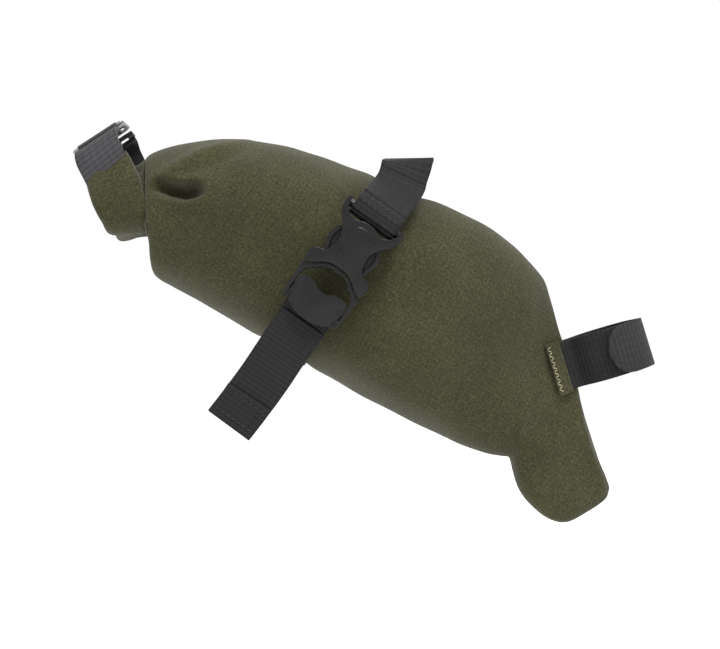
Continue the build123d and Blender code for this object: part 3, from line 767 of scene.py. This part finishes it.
hem_line = [
    (at_buckle(0.3, -59.2, TAIL_OUT + 2.2), STRAP_FORWARD + STRAP_UP * 0.03),
    (at_buckle(0.4, -64, TAIL_OUT + 2.3), STRAP_FORWARD + STRAP_UP * 0.02),
    (at_buckle(0.0, -71.6, TAIL_OUT + 2.0), STRAP_FORWARD - STRAP_UP * 0.02),
    (at_buckle(0.0, -72.9, TAIL_OUT + 1.2), STRAP_FORWARD - STRAP_UP * 0.02),
]
webbing_piece("strap_tail_hem", hem_line, "tail", ["tail_hem"], width=19.9)


# %% [markdown]
# Stitches are short rounded bars of thread, laid one after another along a line, a little longer than
# the gap between them. A zigzag bartack is the same bar turned left and right in turn.


# %% Stitches
def add_stitch(bm, centre, along, across, length, thread=0.5):
    """One stitch: a short capsule lying along a direction."""
    out = along.cross(across).normalized()
    place = Matrix((along.normalized() * length / 2, across.normalized() * thread / 2, out * thread / 2))
    place = Matrix.Translation(centre) @ place.transposed().to_4x4()
    bmesh.ops.create_icosphere(bm, subdivisions=1, radius=1.0, matrix=place)


def stitch_row(name, start, end, across, body, surface, nodes=(), pitch=2.4, zigzag=0.0):
    bm = bmesh.new()
    run = end - start
    count = max(2, int(run.length / pitch))
    for i in range(count):
        centre = start + run * ((i + 0.5) / count)
        if zigzag:
            way = run.normalized() * pitch * 0.5 + across.normalized() * (zigzag if i % 2 else -zigzag)
            add_stitch(bm, centre, way, way.cross(run.cross(across)), 2 * way.length)
        else:
            add_stitch(bm, centre, run, across, pitch * 0.72)
    return store(bm, name, surface, body, nodes)


for index, place in enumerate((-61.2, -70.0)):
    stitch_row(
        "tail_stitches_" + "ab"[index],
        at_buckle(-8.6, place, TAIL_OUT + 3.1),
        at_buckle(8.6, place, TAIL_OUT + 3.1),
        STRAP_UP,
        "tail",
        black_thread,
        ["hem_stitches"],
    )
for index, place in enumerate((28.6, 31.4)):
    stitch_row(
        "socket_fold_stitches_" + "ab"[index],
        at_buckle(-8.4, place, 7.1 - 0.35 * (place - 28)),
        at_buckle(8.4, place, 7.1 - 0.35 * (place - 28)),
        STRAP_UP,
        "bag",
        black_thread,
    )


# %% [markdown]
# The seatpost strap comes out of the front seam on both sides. The near piece ends under the tab; the
# far piece goes round the front of the post and ends in the rounded tab that presses on it. The strap
# is drawn round the post's own axis, from the CAD's clamp mount.


# %% The seatpost strap
def at_post(x, y, z=0.0):
    return POST_FORWARD * x + SIDE * y + POST_UP * z


def round_post(radius, angle):
    return at_post(radius * cos(radians(angle)), radius * sin(radians(angle)))


STRAP_R = POST_RADIUS + WEBBING / 2
tab_hinge = Vector(joints["tab_peel"]["pos_m"]) / MM
TAB_R = tab_hinge.length


def strap_side(side, angles, extra=()):
    start = [
        (at_post(-23.4, side * 9.9), POST_UP),
        (at_post(-18.4, side * 8.0), POST_UP),
        (at_post(-14.0, side * 6.9), POST_UP),
    ]
    return start + [(round_post(STRAP_R, side * a), POST_UP) for a in angles] + list(extra)


webbing_piece(
    "seatpost_strap_near", strap_side(-1, range(137, 30, -9)), "bag", ["post_strap_near"], steps=4
)
step_out = [
    (round_post(STRAP_R + 1.0, -5), POST_UP),
    (round_post(STRAP_R + 2.3, -13), POST_UP),
    (round_post(TAB_R, -20), POST_UP),
]
webbing_piece(
    "seatpost_strap_far",
    strap_side(1, list(range(137, 0, -9)) + [3], step_out),
    "bag",
    ["post_strap_far"],
    steps=4,
)
TAB_END = -93
tab_angles = (-22.5, -31, -40, -49, -58, -67, -76, -85, TAB_END)
tab_line = [(round_post(TAB_R, a), POST_UP) for a in tab_angles]
webbing_piece(
    "seatpost_strap_tab", tab_line, "tab", ["strap_tab"], charcoal_webbing, steps=4, round_end=9.0
)

# %% [markdown]
# A line of stitches runs round the tab just inside its edge. Its places are given across the tab and
# back from the tab's end.

# %% The tab's stitches and the two pads
INSET_HALF = 6.8
ROUND_MIDDLE, ROUND_RADIUS = 9.0, 7.0
legs = (19.0, 16.6, 14.2, 11.8)
turns = [i * pi / 12 for i in range(13)]
inset_line = [(INSET_HALF, back) for back in legs]
inset_line += [(INSET_HALF * cos(t), ROUND_MIDDLE - ROUND_RADIUS * sin(t)) for t in turns]
inset_line += [(-INSET_HALF, back) for back in reversed(legs)]
tab_stitches = bmesh.new()
for pair in zip(inset_line, inset_line[1:]):
    angles = [TAB_END + degrees(back / TAB_R) for _, back in pair]
    ends = [round_post(TAB_R + 0.75, a) + POST_UP * across for a, (across, _) in zip(angles, pair)]
    outwards = round_post(1, angles[0]) - round_post(0, angles[0])
    run = ends[1] - ends[0]
    add_stitch(tab_stitches, (ends[0] + ends[1]) / 2, run, outwards.cross(run), run.length * 0.78, 0.45)
store(tab_stitches, "tab_stitches", black_thread, "tab")
for name, node_name, radius, body_name, surface in (
    ("tab_hook_pad", "hook_pad", 16.55, "tab", hook_pile),
    ("strap_loop_pad", "loop_pad", 15.6, "bag", loop_pile),
):
    pad_line = [(round_post(radius, a), POST_UP) for a in (-38, -46, -54, -62, -70, -80)]
    pad_size = {"width": 16.4, "thickness": 0.7, "edge": 0.12, "round_end": 7.8}
    webbing_piece(name, pad_line, body_name, [node_name], surface, steps=4, **pad_size)

# %% [markdown]
# A narrow strip of the bag's own canvas covers each root of the seatpost strap, and a beige zigzag
# bartack goes through it, the strap and the seam.


# %% Anchor strips and bartacks
def canvas_strip(name, side, node_name):
    line = [
        (at_post(-24.6, side * 10.9, z), POST_FORWARD * 0.93 - SIDE * side * 0.37) for z in (-11, -4, 4, 11)
    ]
    shifted = [(p + POST_FORWARD * 3.2 - SIDE * side * 1.2, a) for p, a in line]
    bm = lay_webbing(shifted, width=6.4, thickness=0.9, steps=5, edge=0.3)
    return store(bm, name, olive_canvas, "bag", [node_name])


for word, side in (("near", -1), ("far", 1)):
    canvas_strip("anchor_strip_" + word, side, "anchor_patch_" + word)
    face = at_post(-23.3, side * 11.1)
    stitch_row(
        "bartack_stitches_" + word,
        face - POST_UP * 9.6,
        face + POST_UP * 9.6,
        POST_FORWARD,
        "bag",
        beige_thread,
        ["bartack_" + word],
        pitch=1.15,
        zigzag=0.9,
    )

# %% [markdown]
# The buckle is moulded acetal, so it has no sharp edge: each part is an outline, given its thickness
# and then rounded. The socket's outline is drawn from its middle to one side and mirrored: two ears
# that carry the bar, a waist that leaves the prongs' buttons bare, and wide hips at the mouth.


# %% Moulded plates
def at_buckle_matrix():
    return placed(BUCKLE, STRAP_FORWARD, STRAP_UP, -SIDE)


def plate(bm, outline, low, high, hole=None):
    """A closed plate through (x, y) points, from height low to height high."""
    verts = [bm.verts.new((x, y, low)) for x, y in outline]
    face = bm.faces.new(verts)
    made = [face]
    if hole:
        inner = [bm.verts.new((x, y, low)) for x, y in hole]
        loop = [bm.edges.new((inner[i - 1], inner[i])) for i in range(len(inner))]
        outer = list(face.edges)
        bm.faces.remove(face)
        made = bmesh.ops.triangle_fill(bm, edges=outer + loop, use_beauty=True)["geom"]
        made = [g for g in made if isinstance(g, bmesh.types.BMFace)]
    raised = bmesh.ops.extrude_face_region(bm, geom=made)
    top = [g for g in raised["geom"] if isinstance(g, bmesh.types.BMVert)]
    bmesh.ops.translate(bm, vec=(0, 0, high - low), verts=top)
    bmesh.ops.recalc_face_normals(bm, faces=bm.faces)


def add_rod(bm, radius, length, matrix):
    bmesh.ops.create_cone(
        bm, cap_ends=True, segments=20, radius1=radius, radius2=radius, depth=length, matrix=matrix
    )


def mirrored(half, steps=3):
    """A smooth closed outline from its right half, listed from the bottom middle to the top middle."""
    right = between(half, steps)
    return right + [(-x, y) for x, y in reversed(right) if x > 0.01]


def finish_plastic(bm, name, body_name, nodes, width=0.5, over=40):
    soften(bm, sharp_edges(bm, over), width, 3)
    bmesh.ops.transform(bm, matrix=at_buckle_matrix(), verts=bm.verts)
    piece = store(bm, name, black_acetal, body_name, nodes)
    piece.data.set_sharp_from_angle(angle=radians(40))
    return piece


# %% The buckle's socket
DEPTH = BUCKLE_BACK - socket_low.y
socket_half = [
    (0.0, 1.9),
    (3.5, 1.6),
    (6.5, 0.3),
    (9.2, -1.7),
    (11.5, -3.1),
    (13.0, -3.2),
    (13.5, -2.0),
    (13.6, 1.0),
    (13.1, 3.1),
    (11.0, 3.9),
    (8.6, 4.9),
    (7.3, 7.2),
    (6.8, 9.8),
    (7.0, 12.6),
    (8.4, 15.6),
    (10.6, 18.4),
    (12.6, 21.2),
    (13.4, 24.4),
    (12.9, 27.3),
    (12.0, 27.6),
    (11.5, 25.6),
    (10.6, 23.0),
    (8.2, 21.3),
    (6.2, 20.9),
    (4.2, 21.5),
    (2.2, 22.2),
    (0.0, 22.4),
]
RIDGE = [(0.0, 3.4), (2.6, 3.2), (4.2, 4.6), (3.6, 8.0), (3.6, 13.0), (4.6, 17.0), (3.2, 19.4), (0.0, 20.0)]
HIP = [(11.3, -2.4), (13.1, -2.2), (13.2, 2.4), (12.0, 3.1), (11.3, 2.2)]
EAR = [(7.6, 15.8), (9.2, 16.8), (11.6, 20.0), (13.0, 24.4)]
EAR += [(12.6, 27.0), (11.9, 26.8), (11.2, 23.4), (9.2, 20.6)]
front = bmesh.new()
plate(front, mirrored(socket_half), DEPTH - 1.9, DEPTH - 0.2)
finish_plastic(front, "socket_front", "bag", ["buckle_socket"], 0.7)
back = bmesh.new()
plate(back, mirrored(socket_half), 0.05, 1.7)
finish_plastic(back, "socket_back", "bag", [], 0.5)
ridge = bmesh.new()
plate(ridge, mirrored(RIDGE), DEPTH - 1.2, DEPTH + 0.15)
finish_plastic(ridge, "socket_raised_panel", "bag", [], 0.6)
sides = bmesh.new()
for side in (-1, 1):
    plate(sides, [(side * x, y) for x, y in HIP], 1.2, DEPTH - 1.0)
    plate(sides, [(side * x, y) for x, y in EAR], 1.2, DEPTH - 1.0)
plate(sides, [(-7.8, 17.2), (7.8, 17.2), (8.6, 20.2), (-8.6, 20.2)], 1.2, DEPTH - 1.0)
finish_plastic(sides, "socket_side_walls", "bag", [], 0.35)
bar = bmesh.new()
BAR_PLACE = Matrix.Translation((0, 25.4, DEPTH / 2)) @ Matrix.Rotation(pi / 2, 4, "Y")
add_rod(bar, 1.5, 23.4, BAR_PLACE)
finish_plastic(bar, "socket_bar", "bag", [], 0.2, 80)

# %% [markdown]
# The plug is a thin arch with a rail down each side. Between the rails, a bar for the webbing and the
# thumb plate that is lifted to let the strap slip. The plate's upper edge dips between two grips, and
# it leans outwards there, so it catches more light than the rails.

# %% The buckle's plug
plug_half = [
    (0.0, 0.1),
    (3.2, -0.2),
    (6.0, -1.5),
    (8.6, -3.5),
    (10.4, -5.2),
    (11.4, -7.4),
    (11.7, -12.0),
    (11.5, -18.4),
    (12.2, -19.2),
    (12.8, -16.0),
    (13.2, -9.0),
    (13.2, -4.6),
    (12.6, -3.7),
    (11.2, -3.6),
    (9.0, -2.2),
    (6.4, -0.2),
    (3.4, 1.1),
    (0.0, 1.4),
]
arch = bmesh.new()
plate(arch, mirrored(plug_half), 1.0, 7.6)
finish_plastic(arch, "plug_arch", "plug", ["buckle_plug"], 0.45)
ladder = bmesh.new()
plate(ladder, [(-12.2, -12.7), (12.2, -12.7), (12.2, -15.4), (-12.2, -15.4)], 1.7, 3.9)
plate(ladder, [(-1.3, -0.6), (1.3, -0.6), (1.3, 11.6), (-1.3, 11.6)], 2.3, 6.3)
LUG = ((12.2, -15.2), (10.4, -16.2), (10.2, -19.4), (12.2, -18.4))
for side in (-1, 1):
    plate(ladder, [(side * x, y) for x, y in LUG], 4.6, 6.4)
finish_plastic(ladder, "plug_bar_and_guide", "plug", [], 0.35)
thumb_half = [
    (0.0, -22.1),
    (4.0, -21.7),
    (7.6, -20.5),
    (10.2, -18.8),
    (11.0, -16.8),
    (11.1, -12.0),
    (11.0, -9.8),
    (10.2, -8.2),
    (8.2, -7.6),
    (6.0, -7.6),
    (4.4, -8.1),
    (3.0, -9.0),
    (1.6, -9.6),
    (0.0, -9.7),
]
thumb = bmesh.new()
plate(thumb, mirrored(thumb_half), 5.4, 7.0)
bmesh.ops.subdivide_edges(thumb, edges=thumb.edges, cuts=1)
for v in thumb.verts:
    lean = 1.3 * max(0.0, (v.co.y + 18.0) / 10.0) ** 1.5
    v.co.z += lean - 0.014 * v.co.x**2 * (v.co.z > 6)
finish_plastic(thumb, "plug_thumb_plate", "plug", [], 0.5)

# %% [markdown]
# Each prong is a springy arm with a hoop at its end. The hoop is the button that fingers press, and it
# stands out of the socket's waist. A thin dark web closes the hoop: it is painted shade, a sheet put
# there so that the hoop's inside reads dark, as its shade does, where the canvas would show through.

# %% The prongs
arm_line = [(9.0, -3.4), (9.2, 2.0), (9.7, 5.6), (10.6, 8.2)]
arm_line += [(11.1, 11.2), (10.6, 14.2), (9.0, 16.4), (7.4, 16.8)]
arm_back = [(7.0, 15.4), (8.2, 14.8), (9.1, 13.0), (9.4, 11.0)]
arm_back += [(9.0, 8.6), (8.0, 6.0), (7.3, 2.0), (7.0, -3.4)]
# painted shade: this web is a dark sheet that stands in for the shade inside each hoop
shade_web = [(9.6, 7.4), (10.3, 11.2), (9.0, 15.2), (6.2, 16.2), (4.8, 14.0), (4.8, 8.0), (6.0, 6.4)]
for word, side in (("rear", -1), ("front", 1)):
    prong = bmesh.new()
    loop_line = between(arm_line, 3) + between(arm_back, 3)
    plate(prong, [(side * x, y) for x, y in loop_line], 2.1, DEPTH - 2.1)
    plate(prong, [(side * x, y) for x, y in between(shade_web, 2, True)], 3.4, 5.0)
    finish_plastic(prong, "prong_arm_" + word, word + "_prong", ["prong_" + word], 0.4)
print("buckle done")

# %% [markdown]
# The neck of the bag is folded over a batten several times and its ends are brought up and together.
# The roll is a thick soft band of canvas, so it is a loft of squared ovals along a U. It is flatter at
# the ends, where it is sewn to the webbing tabs, and it twists as it rises.

# %% The roll
ROLL_Z = HOOK_AXIS
hook_pin = Vector(joints["hook_lift"]["pos_m"]) / MM
NECK_END = (hook_pin.x + 17.4, hook_pin.z - 24.0)


def slanted(angle):
    """The direction that rises at an angle towards the front, in the bicycle's middle plane."""
    return Vector((cos(radians(angle)), 0, sin(radians(angle))))


def beside_pin(y, forward, up):
    """A point measured from the hook's pin: to the left, forward and up."""
    return Vector((hook_pin.x + forward, y, hook_pin.z + up))


# one arm: (left, forward and up from the pin), slant of the width, half width, half thickness
ARM = [
    (25.0, 8.1, -12.3, 39, 9.9, 2.2),
    (25.6, 9.7, -16.0, 34, 10.2, 3.1),
    (25.9, 11.9, -21.5, 25, 10.4, 3.8),
    (25.6, 13.9, -28.0, 16, 10.0, 4.1),
    (24.2, 14.9, -32.4, 12, 9.6, 4.2),
    (20.8, 15.3, -35.0, 10, 9.0, 4.2),
    (15.6, 15.5, -36.0, 9, 8.6, 4.1),
    (8.0, 15.6, -36.1, 9, 8.5, 4.0),
]
ARCH = [(-y, *rest) for y, *rest in ARM] + [(0, 15.6, -36.2, 9, 8.5, 4.0)] + ARM[::-1]


def roll_station(row, ahead, behind):
    """A ring's matrix and shape, square to the line from the row behind to the row ahead."""
    y, forward, up, slant, wide, thick = row
    run = (beside_pin(*ahead[:3]) - beside_pin(*behind[:3])).normalized()
    across = slanted(slant)
    inward = across.cross(run).normalized()
    matrix = ring_place(beside_pin(y, forward, up), across * wide, inward * thick)
    return matrix, lambda angle: fuller(angle, 3.8)


rows = between(ARCH, 5)
roll, _ = loft([roll_station(*three) for three in zip(rows, rows[1:] + rows[-1:], rows[:1] + rows)], 56)
close_ends(roll)
bmesh.ops.recalc_face_normals(roll, faces=roll.faces)
ripple(roll, 11.0, 1.3, 3.0, (1, 1, 0.6))
ripple(roll, 5.0, 0.35, 8.0)
panel_uv(roll, ROLL_Z, ROLL_UP)
roll_piece = store(roll, "roll_of_the_neck", olive_canvas, "closure", ["rolled_neck", "roll_batten"])

# %% [markdown]
# Between the mouth and the roll the cloth is gathered: the oval of the mouth is drawn in to the flat
# roll, so it folds into pleats. The cap starts just behind the bag's rim, and is nearly flat there.

# %% The gathered neck
RIM_BOTTOM, RIM_TOP, RIM_HALF = SECTIONS[1]
NECK_STAGES = [
    (0.0, 0.945, 0.94),
    (0.05, 0.94, 0.93),
    (0.12, 0.91, 0.89),
    (0.2, 0.86, 0.82),
    (0.4, 0.8, 0.72),
    (0.7, 0.74, 0.64),
    (1.0, 0.68, 0.58),
]


def pleated(depth):
    """A squarer oval with pleats of uneven width."""
    return lambda a: fuller(a) * (1 + depth * sin(a * 11 + 1.8 * sin(a * 2 + 0.4)))


rim_low, rim_high = Vector((RIM_BOTTOM[0], 0, RIM_BOTTOM[1])), Vector((RIM_TOP[0], 0, RIM_TOP[1]))
rim_up = (rim_high - rim_low) / 2
rim_back = Vector((-rim_up.z, 0, rim_up.x)).normalized()
rim_middle = (rim_low + rim_high) / 2 + rim_back * 0.45
end_middle = Vector((NECK_END[0], 0, NECK_END[1]))
neck_stations = []
for share, wide, tall in between(NECK_STAGES, 3):
    up = rim_up.normalized().lerp(ROLL_UP, share).normalized() * rim_up.length * tall
    matrix = ring_place(rim_middle.lerp(end_middle, share), SIDE * RIM_HALF * wide, up)
    neck_stations.append((matrix, pleated(0.05 * min(1.0, share * 4))))
neck, _ = loft(neck_stations, 120)
close_ends(neck)
bmesh.ops.recalc_face_normals(neck, faces=neck.faces)
ripple(neck, 7.0, 0.6, 4.0)
panel_uv(neck, ROLL_Z, ROLL_UP)
neck_piece = store(neck, "gathered_neck", olive_canvas, "closure", ["mouth_flap"])

# %% [markdown]
# Grey webbing sewn to the right arm carries the hook, and black webbing on the left arm takes it. The
# arms twist as they rise, so the tabs lie at a steeper slant than the roll.


# %% Tabs
def tab_run(side, shift, places):
    """Stations of a tab: (y, forward, up, slant) from the hook's pin."""
    return [(beside_pin(side * y, forward + shift, up), slanted(slant)) for y, forward, up, slant in places]


TAB = [
    (26.0, 8.0, -14.6, 39),
    (26.6, 6.2, -10.8, 39),
    (26.2, 4.4, -7.2, 37),
    (24.2, 3.5, -4.2, 35),
    (20.6, 3.1, -2.4, 34),
    (16.4, 3.0, -2.0, 33),
    (13.2, 3.0, -2.3, 33),
]
webbing_piece(
    "tab_with_hook", tab_run(-1, 0, TAB), "closure", ["near_tab"], grey_webbing, thickness=2.4, steps=6
)
PIN = beside_pin(hook_pin.y, 3.0, -0.6)
TAB_Z = slanted(33)
TAB_UP = Vector((-TAB_Z.z, 0, TAB_Z.x))
FOLD_R = 2.0
EYE_DROP = 1.3
fold = [
    (PIN + SIDE * FOLD_R * cos(radians(a)) + TAB_UP * FOLD_R * sin(radians(a)), TAB_Z)
    for a in range(200, 520, 24)
]
webbing_piece("tab_fold_round_hook", fold, "closure", [], grey_webbing, steps=3, width=18.6)
far_run = tab_run(1, 2.4, TAB[:-1] + [(15.7, 3.0, -2.0, 33)])
webbing_piece("tab_with_eye", far_run, "closure", ["far_tab"], black_webbing, steps=6)


def at_eye(y, out):
    return Vector((PIN.x, y, PIN.z)) - TAB_UP * EYE_DROP + TAB_Z * out


for word, shift in (("front", 10.2), ("rear", -6.4)):
    eye = [(at_eye(y, shift), TAB_Z) for y in (17.6, 12.6, 8.0)]
    webbing_piece("eye_side_" + word, eye, "closure", [], black_webbing, steps=6, width=3.0)
eye_end = [(at_eye(y, 1.9), TAB_Z) for y in (9.6, 8.4, 7.2)]
webbing_piece("eye_end", eye_end, "closure", [], black_webbing, steps=4, thickness=1.6)

# %% [markdown]
# The hook is cut and bent from aluminium sheet: a frame with a slot, a bar for the webbing, and a lip
# down through the eye.

# %% The hook
hook_mesh = bmesh.new()
PLATE_LOW, PLATE_HIGH = 1.0, 2.2
frame_half = [(-1.2, 0.0), (-1.2, 9.6), (-0.6, 11.4), (1.4, 12.2)]
frame_half += [(21.0, 12.2), (23.8, 10.4), (24.6, 7.0), (24.6, 0.0)]
slot_half = [(3.4, 0.0), (3.4, 8.8), (4.6, 10.0), (19.4, 10.0), (20.8, 8.8), (20.8, 0.0)]
frame_line = frame_half + [(x, -y) for x, y in reversed(frame_half) if y > 0]
slot_line = slot_half + [(x, -y) for x, y in reversed(slot_half) if y > 0]
plate(hook_mesh, frame_line, PLATE_LOW, PLATE_HIGH, slot_line)
plate(hook_mesh, [(22.9, -5.4), (24.4, -5.4), (24.4, 5.4), (22.9, 5.4)], -3.4, PLATE_LOW + 0.4)
soften(hook_mesh, sharp_edges(hook_mesh, 40), 0.4, 3)
add_rod(hook_mesh, 1.1, 23.4, Matrix.Rotation(pi / 2, 4, "X"))
bmesh.ops.transform(hook_mesh, matrix=placed(PIN, SIDE, -TAB_Z, TAB_UP), verts=hook_mesh.verts)
hook_piece = store(hook_mesh, "closure_hook", satin_aluminium, "hook", ["hook"])
hook_piece.data.set_sharp_from_angle(angle=radians(40))

# %% [markdown]
# The stiffening sheet inside keeps its CAD shape, and only gets its finish.

# %% CAD nodes that stay
stiffener = frame["nodes"]["base_stiffener"]
stiffener.data.materials.clear()
stiffener.data.materials.append(dark_lining)

# %% [markdown]
# The bag hangs over a plain pale floor in a bright even studio, with one soft light from the upper
# right. The camera looks square at the bag's right side.

# %% Stage, light and camera
FLOOR_HALF = 3000.0
FLOOR_Z = -120.0
VIEW_WIDTH = 0.300
floor_mesh = bmesh.new()
bmesh.ops.create_grid(floor_mesh, x_segments=1, y_segments=1, size=FLOOR_HALF)
bmesh.ops.translate(floor_mesh, vec=(0, 0, FLOOR_Z), verts=floor_mesh.verts)
floor = store(floor_mesh, "floor", floor_paint, None)


def area_light(name, place, aim, size, watts):
    data = bpy.data.lights.new(name, "AREA")
    data.shape = "DISK"
    data.size = size
    data.energy = watts
    light = bpy.data.objects.new(name, data)
    light.location = place
    light.rotation_euler = (Vector(aim) - Vector(place)).to_track_quat("-Z", "Y").to_euler()
    bpy.context.scene.collection.objects.link(light)


middle = (size_before[0] + size_before[1]) / 2
area_light("key", (0.35, -0.75, 1.35), middle, 0.5, 24)
area_light("fill", (-1.1, -1.1, 0.4), middle, 1.2, 3)
area_light("back", (0.1, 1.0, 1.1), middle, 0.9, 5)
world = bpy.data.worlds.new("studio")
world.use_nodes = True
world.node_tree.nodes["Background"].inputs["Color"].default_value = colour("FFFFFF")
world.node_tree.nodes["Background"].inputs["Strength"].default_value = 1.02
bpy.context.scene.world = world
bpy.context.scene.view_settings.view_transform = "Standard"

camera_data = bpy.data.cameras.new("camera")
camera_data.lens = 85
camera_data.sensor_width = 36
camera = bpy.data.objects.new("camera", camera_data)
distance = VIEW_WIDTH * camera_data.lens / camera_data.sensor_width
camera.location = (middle.x, -distance, middle.z)
camera.rotation_euler = (pi / 2, 0, 0)
bpy.context.scene.collection.objects.link(camera)
bpy.context.scene.camera = camera
